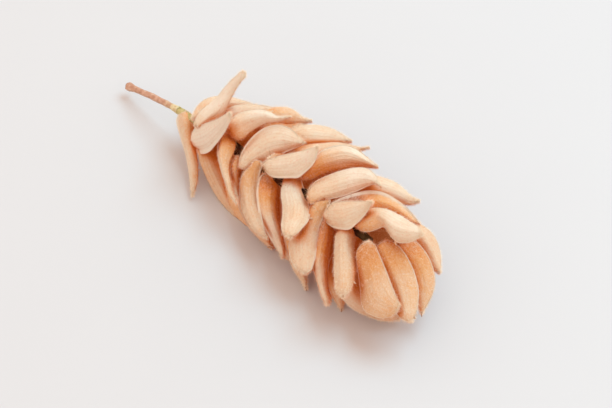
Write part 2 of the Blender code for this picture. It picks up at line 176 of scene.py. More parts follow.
# How a bladder that the camera sees looks to it. root and tip are its two ends, and left and right its
# edges between them, as one looks from root to tip: all in picture pixels. Its distance comes from the
# solid. front and back are how far it swells, keel is the place and sharpness of a ridge along its front,
# rims are the shares of its half width that its flat left and right rims take up, and lift brings it nearer.
# tilt is how much farther off its left edge lies, for its width, and None takes that from the solid. A
# blunt tip is round, as the root is, and any other comes to a point.
FACE_FRONT, FACE_BACK = 1.3, 1.6
FACE_RIMS = (0.08, 0.08)
FACE_TONE = 0.3
Face = namedtuple(
    "Face",
    "root left tip right front back keel rims lift tilt tone side foot dim blunt",
    defaults=(FACE_FRONT, FACE_BACK, (0.0, 0.0), FACE_RIMS, 0.0, None, FACE_TONE, 0.0, FOOT, 0.0, False),
)
FACES = {
    "top0": Face(
        root=(195, 125.5), tip=(243.5, 72),
        left=((195.8, 119), (199, 113), (205, 107), (212, 101.5), (218, 95.5), (223.5, 88.5), (230, 81.5),
              (236.5, 75.5)),
        right=((204, 127), (214, 122.5), (223, 116), (228, 105.5), (232, 97), (236.5, 89), (241, 82),
               (245.5, 76)),
        front=0.8, back=1.2, keel=(0.1, 0.2), rims=(0.0, 0.0), lift=2.4, tilt=0.1, tone=-0.6, foot=1.1,
        side=0.9, blunt=True,
    ),
    "top1": Face(
        root=(192.5, 140), tip=(230, 112.5),
        left=((192.5, 132.5), (196, 127), (206, 123), (214, 120.3), (222, 116.5)),
        right=((193.2, 147.5), (197.5, 152.5), (203.5, 154), (209.5, 152), (215.5, 145.5), (222, 137),
               (227, 128.5), (230, 121)),
        front=0.5, rims=(0.05, 0.35), lift=3.6, tilt=0.6, tone=-0.8, side=-1.1,
    ),
    "top2": Face(
        root=(230, 133), tip=(291.5, 117),
        left=((228.5, 126), (232, 118.5), (240, 113), (250, 110.3), (262, 109.5), (271, 112),
              (277, 115.7), (284, 116.3)),
        right=((238, 140), (244, 138), (250, 132.5), (258, 127.5), (266, 124), (275, 122.8),
               (283, 120.6)),
        front=1.8, keel=(0.25, 0.2), rims=(0.05, 0.0), tilt=0.35, foot=1.6, tone=-0.5, side=0.7,
    ),
    "top3": Face(
        root=(239.5, 167.5), tip=(305, 143.5),
        left=((239.2, 160), (242.5, 151), (247.8, 142.5), (254.5, 135), (262, 129.3), (270, 125.8),
              (280, 124.6), (288, 127), (295, 132), (300, 137.8)),
        right=((246.5, 169.7), (254, 166.3), (262, 163), (270, 159.5), (278, 156), (287, 152),
               (296.5, 148)),
        front=0.9, rims=(0.12, 0.1), lift=0.3, tilt=0.35, tone=0.0,
    ),
    "top4": Face(
        root=(264, 165), tip=(318, 146),
        left=((267, 160.5), (274, 157.5), (283, 154.8), (293, 152.8), (302, 151), (310, 148.5)),
        right=((266, 172), (272, 177), (281, 178.2), (291, 178.2), (299, 177.8), (305, 173), (311, 167.5),
               (315.5, 161), (317.5, 153)),
        front=0.8, rims=(0.05, 0.24), lift=0.6, tilt=0.35, tone=-0.25, foot=0.6,
    ),
    "top5": Face(
        root=(302, 178), tip=(377.5, 167),
        left=((306, 170), (311.5, 163), (316, 156), (321, 151), (329, 147.6), (337, 145.4), (345, 145),
              (353, 147.3), (360, 151.5), (367, 157), (373, 162.5)),
        right=((312, 179), (320, 175.5), (329, 172.3), (339, 170.3), (349, 168.5), (360, 167.5),
               (369, 168)),
        front=1.5, keel=(0.4, 0.1), rims=(0.1, 0.0), lift=-0.3, foot=1.3, tone=0.1, side=1.1,
    ),
    "top6": Face(
        root=(309, 199), tip=(380.5, 186.5),
        left=((308.5, 190), (313, 183.5), (320, 179), (328, 175.5), (337, 172), (346, 169.5),
              (355, 167.8), (364, 167.6), (371, 170.5), (376, 176)),
        right=((310, 204), (319, 202.5), (329, 199.8), (339, 197.8), (349, 194.8), (359, 190.8),
               (368, 186.5), (375, 184.3)),
        front=1.0, rims=(0.06, 0.1), tilt=0.4, foot=1.1, tone=-0.25,
    ),
    "top7": Face(
        root=(325, 215), tip=(372.5, 201.5),
        left=((327, 208), (332, 203.3), (340, 201.7), (350, 201.2), (361, 201.4)),
        right=((326.5, 222), (333, 227.3), (342, 229.7), (350.5, 229.3), (356, 224.8), (362, 219),
               (367, 212.5)),
        front=0.8, rims=(0.05, 0.2), lift=1.4, tilt=0.3, tone=0.15, foot=0.1,
    ),
    "top8": Face(
        root=(328, 207), tip=(420, 224),
        left=((336, 200.5), (346, 196.3), (356, 193), (366, 190.8), (376, 190.8), (386, 193.5),
              (395, 198.5), (404, 205), (412, 213)),
        right=((345, 214), (365, 215), (380, 213), (392, 215), (402, 219.5), (411, 224.5)),
        front=1.0, rims=(0.36, 0.0), tilt=0.35, tone=1.1, foot=1.8, side=1.5,
    ),
    "top9": Face(
        root=(356, 226), tip=(421.5, 234),
        left=((359, 217.5), (364, 212), (370, 208.8), (377, 207.6), (386, 208.9), (395, 212.5),
              (403, 217), (410, 221.5), (417, 226)),
        right=((362, 231.3), (370, 231.8), (378, 229.3), (383.5, 227), (388, 232), (392, 238), (399, 243),
               (407, 243.2), (415, 240.5)),
        front=1.5, keel=(0.1, 0.1), rims=(0.0, 0.08), lift=0.5, tilt=0.1, tone=-0.1, foot=1.2, side=0.2,
        blunt=True,
    ),
    "near0": Face(
        root=(185, 112), tip=(192.3, 197),
        left=((191, 113.5), (195, 120), (195.3, 130), (195, 142), (196.3, 153), (197.6, 163),
              (197.8, 174), (196.3, 185)),
        right=((179, 114), (176.8, 119.5), (178.2, 129), (181, 139), (184.4, 150), (187, 161), (189, 173),
               (190.4, 186)),
        front=1.0, back=1.7, keel=(0.1, 0.6), rims=(0.0, 0.24), lift=-2.4, tone=0.3, side=-1.4,
    ),
    "near1": Face(
        root=(225, 133), tip=(237, 204),
        left=((231, 135.5), (235.5, 143.5), (233.5, 153), (229.5, 163), (229, 172), (231, 182),
              (232.5, 191), (235.5, 199)),
        right=((220, 137.5), (217.5, 147), (218, 157), (220, 167), (222.8, 176.5), (226.5, 186.5),
               (231, 197)),
        front=1.6, keel=(-0.3, 0.5), rims=(0.0, 0.3), tone=0.45, side=-1.2,
    ),
    "near2": Face(
        root=(238, 156), tip=(243, 211),
        left=((241.5, 165), (241, 176), (241.5, 188), (242.5, 200)),
        right=((233, 161), (230.5, 169), (230.8, 177), (232.5, 186), (235, 196), (239, 205)),
        front=0.8, lift=-1.5, tone=0.0, foot=1.0,
    ),
    "near3": Face(
        root=(257, 160), tip=(267.5, 238.5),
        left=((263, 162.5), (260.8, 172), (258.7, 184), (258.8, 196), (260.6, 208), (262.7, 219),
              (265, 230)),
        right=((249.5, 166.5), (242.5, 174.5), (240, 185), (240.3, 198), (242.3, 210), (246.5, 221),
               (253, 230.5), (260.5, 236)),
        front=0.9, rims=(0.26, 0.05), tone=0.55, dim=0.1,
    ),
    "near4": Face(
        root=(270, 171), tip=(282.5, 257),
        left=((276.5, 175), (278.7, 187), (277.2, 201), (278, 216), (281.3, 230), (284.5, 243),
              (285.5, 251)),
        right=((259.5, 177), (256.5, 189), (257, 203), (259.5, 217), (265, 230), (272, 242),
               (278.6, 252)),
        front=0.8, rims=(0.0, 0.25), lift=-1.6, tone=-0.1, foot=2.4, side=-0.9, blunt=True,
    ),
    "near5": Face(
        root=(292, 174), tip=(290.5, 237),
        left=((300, 176.5), (303.2, 186), (306.5, 195), (309, 204), (310.4, 213), (308.5, 221.5),
              (303, 228), (297, 234)),
        right=((284.8, 177.5), (281.7, 187), (281, 197), (282.7, 207), (282.3, 217), (281.3, 226),
               (283.3, 234.3)),
        front=0.9, rims=(0.1, 0.04), tone=0.42, foot=-1.2, dim=0.04, blunt=True,
    ),
    "near6": Face(
        root=(322, 200.5), tip=(305, 272.8),
        left=((330.7, 200), (328.2, 209), (323.7, 218), (319.8, 228), (318, 240), (317.2, 252),
              (314.3, 263), (311.3, 270.5)),
        right=((313, 203), (307, 212), (300, 222), (293, 233), (289, 243), (289.3, 252.5), (291.8, 262),
               (297, 270)),
        front=0.8, rims=(0.18, 0.05), lift=-0.3, tone=0.45, dim=0.07, blunt=True,
    ),
    "near7": Face(
        root=(326, 219), tip=(327.5, 304.7),
        left=((331.7, 225), (331.5, 238), (329.5, 251), (328.3, 264), (327.8, 277), (329, 290),
              (331.3, 299)),
        right=((320, 228), (317, 240), (314.5, 254), (312.5, 265), (315, 276), (318, 287), (322, 298)),
        front=1.2, keel=(-0.35, 0.4), rims=(0.0, 0.1), lift=-1.2, tone=0.3, foot=1.6, side=-0.5,
        blunt=True,
    ),
    "near8": Face(
        root=(346, 224.5), tip=(343, 295.5),
        left=((352, 226.5), (356.6, 233), (354, 245), (355, 258), (355.7, 270), (353.8, 281),
              (351.8, 288.5), (347.8, 294)),
        right=((340, 227.5), (336, 234), (334.3, 247), (334, 260), (333.9, 273), (334.5, 283.5),
               (336.3, 291.5)),
        front=1.5, rims=(0.0, 0.0), lift=-1.5, tone=0.58, foot=-0.8, dim=0.11, blunt=True,
    ),
    "low0": Face(
        root=(208, 139), tip=(243, 223),
        left=((222, 147), (228, 160), (233, 175), (238, 192), (241, 207)),
        right=((199, 147), (199, 158), (202.5, 169), (207, 179), (212, 189), (218.3, 199), (225.5, 208),
               (233.5, 216)),
        front=0.7, back=2.0, rims=(0.0, 0.0), lift=-3.2, tilt=0.15, tone=0.6, foot=-0.3, dim=0.08,
    ),
    "low2": Face(
        root=(250, 178), tip=(273, 248.5),
        left=((259, 190), (263, 205), (267, 220), (271, 236)),
        right=((240, 190), (238.5, 205), (243, 217.5), (249, 228), (256, 236.5), (264, 243.5)),
        front=1.0, rims=(0.0, 0.1), lift=-1.0, tone=0.6,
    ),
    "low4": Face(
        root=(288, 225), tip=(306.5, 289.5),
        left=((298, 232), (303, 248), (306, 262), (307.5, 276)),
        right=((285, 238), (287, 251), (290, 262), (294.5, 272), (301, 280)),
        front=1.3, tone=0.6,
    ),
    "low5": Face(
        root=(342, 238), tip=(341.5, 310.5),
        left=((350, 250), (353, 265), (352, 281), (348, 296)),
        right=((333, 252), (328, 266), (327, 280), (330, 292), (335.5, 302)),
        front=1.2, lift=-1.8, tone=0.7, foot=-0.4,
    ),
    "low6": Face(
        root=(342, 268), tip=(400, 319),
        left=((356, 272), (370, 284), (383, 299), (394, 310)),
        right=((336, 282), (341, 297), (350, 307.5), (361, 314), (374, 319), (387, 321.5)),
        front=1.5, back=2.0, rims=(0.0, 0.05), tone=0.55, foot=-1.0, dim=0.1,
    ),
    "end0": Face(
        root=(369, 241.5), tip=(398.5, 306),
        left=((374.7, 244.5), (378.8, 252), (382.8, 261.5), (387, 271.5), (391, 282), (394.5, 292),
              (397.8, 301)),
        right=((362, 244), (357, 251), (357, 263), (359, 278), (360.7, 292), (361.7, 304), (365.5, 311.8),
               (373, 316), (382.5, 318.4), (391, 316.5), (396.7, 311.8)),
        front=0.8, rims=(0.06, 0.04), tone=0.76, foot=0.1, dim=0.11, lift=0.8, blunt=True,
    ),
    "end1": Face(
        root=(386, 241), tip=(411, 321),
        left=((397.5, 244.7), (403.5, 251), (408.3, 258.5), (412.8, 267.5), (416.3, 278), (418.8, 290),
              (418.5, 302), (416.5, 312)),
        right=((377, 246), (377, 259), (381, 273), (386.5, 287), (391, 301), (396, 313), (403.5, 320.3)),
        front=0.8, rims=(0.07, 0.04), tone=0.68, dim=0.12, lift=0.4, blunt=True,
    ),
    "end2": Face(
        root=(406, 239), tip=(421.7, 314),
        left=((417, 242.5), (424.5, 250.5), (430, 260), (433.8, 271), (435, 282), (433, 293),
              (428.5, 303), (425, 309)),
        right=((399, 246), (401, 258), (407, 271), (413, 285), (416.5, 299), (418.8, 308)),
        front=0.85, rims=(0.07, 0.0), tone=0.88, dim=0.06,
    ),
    "end3": Face(
        root=(410, 222), tip=(440, 273),
        left=((421, 224.5), (430, 231), (436.3, 240), (439.7, 250), (440.8, 261)),
        right=((405, 232), (411, 244), (419, 256), (427, 266), (434, 271)),
        front=1.1, rims=(0.0, 0.0), tone=0.5, foot=-0.3, lift=-0.4,
    ),
    "far0": Face(
        root=(193, 118), tip=(257, 106.5),
        left=((195, 109.5), (199.5, 103.5), (206, 99), (215, 96.6), (226, 96.5), (238, 99.3),
              (248, 102.3)),
        right=((205, 117), (217, 114), (230, 111), (244, 109)),
        front=1.0, rims=(0.05, 0.0), tone=0.25,
    ),
    "far1": Face(
        root=(222, 118), tip=(278, 111.5),
        left=((226, 110.5), (234, 106), (245, 104.6), (257, 104.8), (268, 106.5)),
        right=((233, 123), (246, 120), (258, 117), (269, 115)),
        front=1.0, rims=(0.08, 0.0), tone=0.15, foot=-0.4,
    ),
    "far2": Face(
        root=(258, 116), tip=(311.5, 121),
        left=((264, 110.5), (271, 108), (280, 107), (289, 108), (296, 111.8), (302, 117)),
        right=((268, 123), (280, 126), (291, 126.5), (301, 124.3)),
        front=1.2, rims=(0.0, 0.0), tone=0.6,
    ),
    "far3": Face(
        root=(262, 130), tip=(305, 125),
        left=((270, 121), (285, 117.5), (297, 119.5)),
        right=((275, 137), (290, 138), (300, 133)),
        front=0.6, lift=-2.0, tone=0.8,
    ),
    "far6": Face(
        root=(325, 162), tip=(368, 164),
        left=((335, 153), (350, 153), (361, 157)),
        right=((335, 173), (350, 174), (362, 171)),
        front=0.6, lift=-4.0, tone=0.8,
    ),
    "far4": Face(
        root=(286, 134), tip=(351.5, 141.5),
        left=((292, 127.5), (303, 125.2), (316, 125), (327, 127), (337, 131), (344.5, 136)),
        right=((294, 146), (307, 149), (321, 149), (334, 147), (344, 143.8)),
        front=1.1, rims=(0.0, 0.0), tone=0.15, dim=0.06,
    ),
    "far5": Face(
        root=(268, 160), tip=(370, 147.5),
        left=((280, 150.5), (292, 145.5), (303, 143.3), (315, 142), (328, 141.5), (340, 142.5),
              (350, 144.7), (359, 147.3)),
        right=((280, 161), (290, 162), (305, 164), (322, 164), (340, 160), (355, 154), (363, 149.8)),
        front=1.2, rims=(0.04, 0.0), lift=-1.4, tone=0.55, foot=-0.3,
    ),
    "far7": Face(
        root=(352, 184), tip=(419.5, 201.5),
        left=((362, 177.5), (375, 176), (386, 178.5), (395, 182.3), (403, 188), (410, 195)),
        right=((362, 197), (374, 200), (388, 202), (400, 204), (411, 204.5)),
        front=1.2, rims=(0.0, 0.0), lift=-1.5, tone=0.1,
    ),
    # Painted shade: far8 is made dark all over to stand for the shade in the hollow at the free end.
    "far8": Face(
        root=(360, 247), tip=(420, 240),
        left=((364, 233), (376, 226), (390, 226), (404, 232)),
        right=((372, 252), (388, 254), (404, 250)),
        front=0.6, back=1.2, lift=-2.0, tone=3.3, dim=0.7,
    ),
}

# How far a bladder that only fills a gap between others lies behind its solid.
SUNK = {"low1": 2.4, "low3": 2.2, "far_low1": 1.8, "far_low2": 1.2, "far_low3": 1.8, "far_low4": 2.0,
        "under1": 1.0, "under4": 1.0, "under5": 2.0, "under6": 1.5, "under7": 1.4}

# The beaks that stand out beside a tip: the bladder, the pixels along the beak, and how brown it is.
Beak = namedtuple("Beak", "owner start end brown")
BEAKS = (
    Beak("top3", (302.5, 142), (307, 144.5), 0.7),
    Beak("top6", (376, 182), (381.5, 188), 0.3),
    Beak("near5", (308.5, 218), (313.5, 219.3), 0.25),
    Beak("far2", (306.5, 120.5), (311.5, 121.2), 0.9),
    Beak("far7", (412.5, 200.5), (420, 201.5), 0.9),
    Beak("end3", (436.5, 269.5), (440.5, 273.3), 0.8),
    Beak("end2", (421.5, 310), (421.8, 317), 0.8),
    Beak("end0", (397, 304), (401.5, 306.5), 0.45),
    Beak("end1", (413, 316.5), (415.5, 319), 0.6),
    Beak("near8", (353, 281.5), (356, 284), 0.35),
    Beak("top9", (395, 241), (396.3, 245.5), 0.2),
    Beak("low5", (341.5, 307.5), (341.3, 312.5), 1.0),
    Beak("low4", (305.5, 285), (306.5, 291), 0.8),
    Beak("low2", (268, 246.8), (273.5, 249.5), 0.6),
    Beak("top0", (242.5, 74.5), (246.3, 73.5), 0.6),
    Beak("near7", (329.5, 300), (332, 302), 0.4),
    Beak("top5", (374, 164.5), (378.5, 168), 0.6),
    Beak("near3", (265.5, 235), (269, 240.5), 0.2),
)

# The stalk, as the solids have it.
STALK_LENGTH = 15.2
STALK_SLOPE = 0.20
STALK_RADIUS = 0.48
STALK_JOINT_RADIUS = 0.62
STALK_END_RADIUS = 0.72
STALK_SWELLING = 0.09
STALK_GAP = 0.3
STALK_CLEARANCE = 1.25

# The camera, as the photo was taken: from above, at the cone's free end and near side.
CAMERA_AZIMUTH = 46.4
CAMERA_ELEVATION = 50.0
CAMERA_TARGET = np.array((2.6, 3.4, 0.0))
CAMERA_DISTANCE = 398.0
CAMERA_LENS = 150.0
SENSOR_WIDTH = 36.0
PICTURE_SIZE = np.array((612, 408))


def view_axes():
    """The directions that the camera sees as right, up and away."""
    azimuth, elevation = math.radians(CAMERA_AZIMUTH), math.radians(CAMERA_ELEVATION)
    level = np.array((-math.sin(azimuth), math.cos(azimuth), 0.0))
    right = np.array((math.cos(azimuth), math.sin(azimuth), 0.0))
    upward = level * math.sin(elevation) + UP * math.cos(elevation)
    away = level * math.cos(elevation) - UP * math.sin(elevation)
    return right, upward, away


RIGHT, UPWARD, AWAY = view_axes()
EYE = CAMERA_TARGET - AWAY * CAMERA_DISTANCE
FOCAL_PIXELS = CAMERA_LENS / SENSOR_WIDTH * PICTURE_SIZE[0]


def depth_of(points):
    return (points + BOX_SHIFT - EYE) @ AWAY


def in_picture(points):
    """Where the camera sees the points, in pixels."""
    reach = points + BOX_SHIFT - EYE
    flat = np.stack((reach @ RIGHT, -(reach @ UPWARD)), axis=-1) / (reach @ AWAY)[..., None]
    return PICTURE_SIZE / 2 + flat * FOCAL_PIXELS


def in_space(pixels, depth):
    """The points that the camera sees at these pixels, at these depths."""
    flat = (pixels - PICTURE_SIZE / 2) / FOCAL_PIXELS
    reach = RIGHT * flat[..., :1] - UPWARD * flat[..., 1:] + AWAY
    return EYE + reach * depth[..., None] - BOX_SHIFT


def cubic(s, gap, start, end, start_slope, end_slope):
    """The curve with these ends and slopes, at shares s of the gap between its ends."""
    return ((1 + 2 * s) * (1 - s) ** 2 * start + s * (1 - s) ** 2 * gap * start_slope
            + s * s * (3 - 2 * s) * end + s * s * (s - 1) * gap * end_slope)


def smooth_line(points, shares, first_heading, last_heading=None):
    """Places on a smooth curve through the points, at these shares of its length."""
    points = np.array(points, dtype=float)
    run = np.concatenate(((0.0,), np.cumsum(np.linalg.norm(np.diff(points, axis=0), axis=1))))
    slope = np.gradient(points, run, axis=0)
    slope[0] = first_heading
    if last_heading is not None:
        slope[-1] = last_heading
    where = shares * run[-1]
    i = np.clip(np.searchsorted(run, where, side="right") - 1, 0, len(run) - 2)
    gap = (run[i + 1] - run[i])[:, None]
    s = (where - run[i])[:, None] / gap
    return cubic(s, gap, points[i], points[i + 1], slope[i], slope[i + 1])


def smooth_profile(points, t):
    """The profile's value at each t, on a smooth curve through its points that doesn't overshoot them."""
    x = np.array([p[0] for p in points])
    y = np.array([p[1] for p in points])
    gap = np.diff(x)
    rise = np.diff(y) / gap
    slope = np.zeros(len(x))
    for i in range(1, len(x) - 1):
        if rise[i - 1] * rise[i] > 0:
            slope[i] = 2 / (1 / rise[i - 1] + 1 / rise[i])
    slope[0], slope[-1] = rise[0], rise[-1]
    i = np.clip(np.searchsorted(x, t, side="right") - 1, 0, len(gap) - 1)
    s = (t - x[i]) / gap[i]
    return cubic(s, gap[i], y[i], y[i + 1], slope[i], slope[i + 1])


def rachis_direction():
    rise = math.radians(RACHIS_RISE)
    return np.array((math.cos(rise), 0.0, math.sin(rise)))


def rachis_point(station):
    return np.array((0.0, 0.0, RACHIS_FOOT_HEIGHT)) + rachis_direction() * station


def radial(clock):
    """The direction square to the rachis at this clock angle."""
    along = rachis_direction()
    upward = np.array((-along[2], 0.0, along[0]))
    near = np.array((0.0, -1.0, 0.0))
    angle = math.radians(clock)
    return upward * math.cos(angle) + near * math.sin(angle)


def unit(vectors):
    return vectors / (np.linalg.norm(vectors, axis=-1, keepdims=True) + 1e-9)


def turned(vectors, axes, degrees):
    """Each vector, which is square to its axis, turned about it."""
    angle = np.radians(degrees)
    return vectors * np.cos(angle) + np.cross(axes, vectors) * np.sin(angle)


def spine(bladder, stations):
    """The bladder's middle line at these shares of its length.

    Returns its places and headings, and its wide and thick cross directions.
    """
    along, outward = rachis_direction(), radial(bladder.clock)
    across = np.cross(along, outward)
    t = np.asarray(stations)
    lean = np.radians(bladder.splay + bladder.bend * (0.5 - t))[:, None]
    middles = (t[1:] + t[:-1]) / 2
    slant = np.radians(bladder.splay + bladder.bend * (0.5 - middles))[:, None]
    steps = (along * np.cos(slant) + outward * np.sin(slant)) * (bladder.length * np.diff(t))[:, None]
    start = rachis_point(bladder.station) - outward * bladder.root
    places = start + np.vstack((np.zeros((1, 3)), np.cumsum(steps, axis=0)))
    first_heading = along * math.cos(lean[0, 0]) + outward * math.sin(lean[0, 0])
    places = places + first_heading * bladder.length * t[0]
    headings = along * np.cos(lean) + outward * np.sin(lean)
    backs = outward * np.cos(lean) - along * np.sin(lean)
    wide = turned(np.broadcast_to(across, backs.shape), headings, bladder.roll)
    thick = turned(backs, headings, bladder.roll)
    return places, headings, wide, thick


def lowest(bladder):
    """The height of the lowest corner of the bladder's solid."""
    places, _, wide, thick = spine(bladder, STATIONS)
    width = np.array([value for _, value in WIDTH_PROFILE]) * bladder.width / 2
    depth = np.array([value for _, value in DEPTH_PROFILE]) * bladder.depth / 2
    angles = np.arange(SOLID_SIDES) * 2 * math.pi / SOLID_SIDES
    reach = width[:, None] * (np.cos(angles) + bladder.lop)
    swell = depth[:, None] * np.sin(angles)
    return (places[:, 2:] + wide[:, 2:] * reach + thick[:, 2:] * swell).min()


def rested(bladder):
    """The bladder, pressed towards the rachis until it lies on the table."""
    while lowest(bladder) < -PRESSED_DEPTH:
        bladder = bladder._replace(splay=bladder.splay - SPLAY_STEP)
    return bladder


def under_bladders():
    draw = random.Random(UNDER_SEED)
    station, side = UNDER_FIRST, 1
    while station < UNDER_LAST:
        yield Bladder(
            station + draw.uniform(-UNEVEN_STATION, UNEVEN_STATION),
            UNDER_CLOCK + side * UNDER_SWING + draw.uniform(-UNEVEN_CLOCK, UNEVEN_CLOCK),
            UNDER_SPLAY,
            UNDER_LENGTH + draw.uniform(-UNEVEN_LENGTH, UNEVEN_LENGTH),
            roll=UNDER_ROLL + draw.uniform(-UNEVEN_ROLL, UNEVEN_ROLL),
        )
        station += UNDER_STEP
        side = -side


# Mesh making

def new_mesh(name, points, faces, numbers=None, sharp=None):
    """A mesh object from points in millimetres. numbers holds a value for each point under each name.

    An edge is sharp where both its points are marked in sharp.
    """
    data = bpy.data.meshes.new(name)
    data.from_pydata(((points + BOX_SHIFT) * MM).tolist(), [], faces)
    for key, values in (numbers or {}).items():
        attribute = data.attributes.new(key, "FLOAT", "POINT")
        attribute.data.foreach_set("value", np.asarray(values, dtype=np.float32))
    data.shade_smooth()
    data.update()
    if sharp is not None:
        ends = np.empty(len(data.edges) * 2, dtype=np.int32)
        data.edges.foreach_get("vertices", ends)
        crease = data.attributes.new("sharp_edge", "BOOLEAN", "EDGE")
        crease.data.foreach_set("value", sharp[ends].reshape(-1, 2).all(axis=1))
    obj = bpy.data.objects.new(name, data)
    bpy.context.scene.collection.objects.link(obj)
    return obj


def tube_faces(rings, sides, first=0):
    """Faces between rings of points, and a cap on each end."""
    faces = []
    for ring in range(rings - 1):
        for side in range(sides):
            near, far = side, (side + 1) % sides
            low, high = first + ring * sides, first + (ring + 1) * sides
            faces.append((low + near, low + far, high + far, high + near))
    faces.append(tuple(first + side for side in reversed(range(sides))))
    faces.append(tuple(first + (rings - 1) * sides + side for side in range(sides)))
    return faces


def flipped(faces):
    """The faces, each looking the other way."""
    return [tuple(reversed(face)) for face in faces]


def grid_normals(grid):
    """The outward direction at each point of a grid of rings and sides."""
    lengthwise = np.gradient(grid, axis=0)
    around = np.roll(grid, -1, axis=1) - np.roll(grid, 1, axis=1)
    return unit(np.cross(around, lengthwise))


# How far apart in the noise two neighbouring seeds lie.
SEED_STEP = (7.3, 3.1, 5.7)


def lumps(grid, scale, seed):
    """Smooth noise at each point of a grid, between about -1 and 1, with lumps of this many millimetres."""
    offset = Vector([seed * step for step in SEED_STEP])
    flat = grid.reshape(-1, 3) / scale
    return np.array([noise.noise(Vector(p) + offset) for p in flat]).reshape(grid.shape[:2])


def two_lumps(grid, reliefs, seed):
    """The sum of two noises, each given as its height and the size of its lumps."""
    (height, size), (fine_height, fine_size) = reliefs
    return height * lumps(grid, size, seed) + fine_height * lumps(grid, fine_size, seed)


# The bladders

FLUTE_HEIGHT, FLUTES = 0.05, 5
LUMP_HEIGHT, LUMP_SIZE = 0.16, 3.2
CRINKLE_HEIGHT, CRINKLE_SIZE = 0.05, 0.9
TWIST = 14.0

# An edged skin has a sharp edge along its two sides.
Skin = namedtuple(
    "Skin",
    "grid normals headings along across rim bladder edged shade",
    defaults=(False, None),
)


def fine_stations():
    """Shares of a bladder's length, closer together at its two ends."""
    s = np.linspace(0, math.pi, RINGS)
    return FINE_START + (FINE_END - FINE_START) * (1 - np.cos(s)) / 2


def relief_of(grid, across, draw, seed):
    """How high the skin's flutes, lumps and crinkles stand at each point of its grid."""
    flutes = np.cos(2 * math.pi * (FLUTES * across + draw.random())) * FLUTE_HEIGHT
    lumpy = LUMP_HEIGHT * lumps(grid, LUMP_SIZE, seed)
    crinkled = CRINKLE_HEIGHT * lumps(grid, CRINKLE_SIZE, seed)
    return flutes + lumpy + crinkled


def bladder_skin(bladder, seed, sunk=0.0):
    """The bladder's fine surface: rings of points, with what the material and the down need."""
    draw = random.Random(seed)
    t = fine_stations()
    turn = draw.uniform(-TWIST, TWIST)
    places, headings, wide, thick = spine(bladder, t)
    places = places + AWAY * sunk
    twist = turn * (t - 0.5)[:, None]
    wide, thick = turned(wide, headings, twist), -turned(thick, headings, twist)
    width = (smooth_profile(FINE_WIDTH, t) * bladder.width / 2)[:, None]
    depth = (smooth_profile(FINE_DEPTH, t) * bladder.depth / 2)[:, None]
    angles = np.arange(SIDES) * 2 * math.pi / SIDES
    edge = np.exp(-(np.sin(angles) / KEEL_SPREAD) ** 2)
    body = np.clip(width / (bladder.width / 2), 0, 1)
    keel = KEEL_HEIGHT * edge * np.sign(np.cos(angles)) * body
    reach = width * (np.cos(angles) + bladder.lop * np.ones(SIDES)) + keel
    swell = depth * np.sign(np.sin(angles)) * np.abs(np.sin(angles)) ** PINCH
    grid = places[:, None] + wide[:, None] * reach[..., None] + thick[:, None] * swell[..., None]
    normals = grid_normals(grid)
    across = np.broadcast_to(np.arccos(np.cos(angles)) / math.pi, reach.shape)
    relief = relief_of(grid, across, draw, seed) * body ** 0.5
    grid = grid + normals * relief[..., None]
    grid[..., 2] = np.maximum(grid[..., 2], SKIN_CLEARANCE)
    along = np.broadcast_to(t[:, None], reach.shape)
    rim = np.broadcast_to(edge, reach.shape)
    return Skin(grid, grid_normals(grid), headings, along, across, rim, bladder)


FACE_START, FACE_END = 0.004, 0.996
# A face's depth follows this many places of its solid's middle line.
DEPTH_PLACES = 12
DEPTH_FROM, DEPTH_TO = -0.1, 1.1
# A solid whose width is seen at less than this share of itself says nothing of the face's tilt.
LEAST_SPREAD = 0.3
STEEPEST_TILT = 0.5
# A face's root is lifted towards the camera, and less so along this share of its length.
ROOT_LIFT = 1.7
ROOT_LIFT_SHARE = 0.75
ROOT_LIFT_POWER = 1.5
RIM_THICKNESS = 0.07
RIM_CURL = 0.06
RIM_SHARPNESS = 3
# Under 1, it keeps the face full until close to its ends.
END_POWER = 0.72


def face_depth(bladder, face):
    """A function that gives the depth of the face's middle surface at any pixel."""
    places, _, wide, _ = spine(bladder, np.linspace(0, 1, DEPTH_PLACES))
    wide = wide[DEPTH_PLACES // 2]
    root, axis = np.array(face.root, dtype=float), np.subtract(face.tip, face.root).astype(float)
    length = np.linalg.norm(axis)
    left = np.array((axis[1], -axis[0])) / length
    shares = (in_picture(places) - root) @ axis / length ** 2
    curve = np.polyfit(shares, depth_of(places), 2)
    tilt = face.tilt
    if tilt is None:
        spread = np.array((wide @ RIGHT, -(wide @ UPWARD))) @ left
        tilt = 0.0
        if abs(spread) > LEAST_SPREAD:
            tilt = np.clip(wide @ AWAY / spread, -STEEPEST_TILT, STEEPEST_TILT)
    scale = CAMERA_DISTANCE / FOCAL_PIXELS

    def depth(pixels):
        share = np.clip((pixels - root) @ axis / length ** 2, DEPTH_FROM, DEPTH_TO)
        root_lift = ROOT_LIFT * np.clip(1 - share / ROOT_LIFT_SHARE, 0, 1) ** ROOT_LIFT_POWER
        return np.polyval(curve, share) + tilt * (pixels - root) @ left * scale - face.lift - root_lift

    return depth


def swelling(u, face):
    """How far the face swells and its rims curl, at shares u of its half width, 1 at the left edge."""
    left_rim, right_rim = face.rims
    low, high = right_rim - 1, 1 - left_rim
    v = np.clip((2 * u - low - high) / (high - low), -1, 1)
    place, sharp = face.keel
    dome = (1 - v * v) * (1 + place * v)
    tent = 1 - np.abs(v - place) / np.where(v > place, 1 - place, 1 + place)
    inside = dome * (1 - sharp) + tent * sharp
    curl = np.clip((u - high) / max(left_rim, 0.01), 0, 1) + np.clip((low - u) / max(right_rim, 0.01), 0, 1)
    return inside, curl


